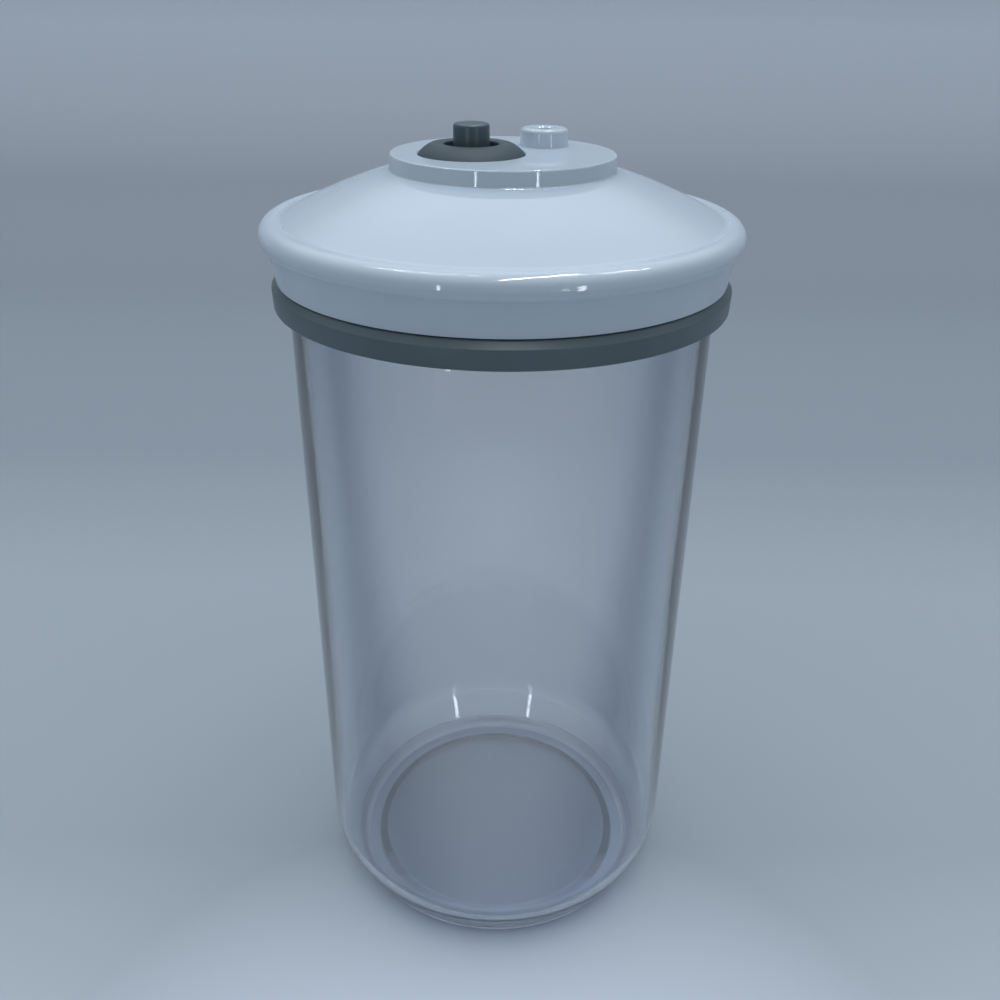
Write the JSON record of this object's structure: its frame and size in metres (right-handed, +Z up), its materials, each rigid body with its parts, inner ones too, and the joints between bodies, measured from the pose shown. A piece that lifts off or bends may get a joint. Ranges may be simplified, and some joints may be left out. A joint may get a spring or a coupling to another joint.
{
  "type": "vacuum seal canister",
  "caption": "Round clear vacuum seal canister with a grey rim gasket and a domed white lid that carries a vent release button and a hose port with a check valve.",
  "frame": {"origin": "centre of the canister's foot ring, on the surface it stands on", "axes": "+Z up along the canister's axis; -Y is the front, from which the release button stands left of the hose port"},
  "size_m": [0.14, 0.14, 0.2641],
  "materials": {
    "clear_plastic": "clear, faint lavender tint, polished",
    "gasket_rubber": "satin grey",
    "white_plastic": "gloss white",
    "collar_rubber": "matt mid grey",
    "button_plastic": "satin dark grey",
    "port_plastic": "satin white",
    "valve_rubber": "matt black",
    "filter_fabric": "felt",
    "steel": "bright zinc"
  },
  "bodies": {
    "canister": {"canister_body": "clear_plastic"},
    "lid": {"lid_shell": "white_plastic", "lid_gasket": "gasket_rubber", "release_collar": "collar_rubber", "release_spring": "steel", "hose_port": "port_plastic", "port_o_ring": "valve_rubber", "valve_seat": "port_plastic", "filter_disc": "filter_fabric", "valve_cover": "port_plastic", "valve_cover_screws": "steel"},
    "release_plunger": {"release_button": "button_plastic", "release_stem": "steel", "release_seal": "valve_rubber", "stem_retainer": "steel"},
    "check_valve": {"check_valve_disc": "valve_rubber"}
  },
  "joints": [
    {"name": "lid_lift", "type": "slide", "parent": "canister", "child": "lid", "axis": [0, 0, 1], "range_m": [0, 0.06]},
    {"name": "release_press", "type": "slide", "parent": "lid", "child": "release_plunger", "axis": [0, 0, -1], "range_m": [0, 0.003], "stiffness_N_per_m": 400, "springref_m": -0.004, "deforming": ["release_spring"]},
    {"name": "check_valve_lift", "type": "slide", "parent": "lid", "child": "check_valve", "axis": [0, 0, 1], "range_m": [0, 0.0015]}
  ]
}
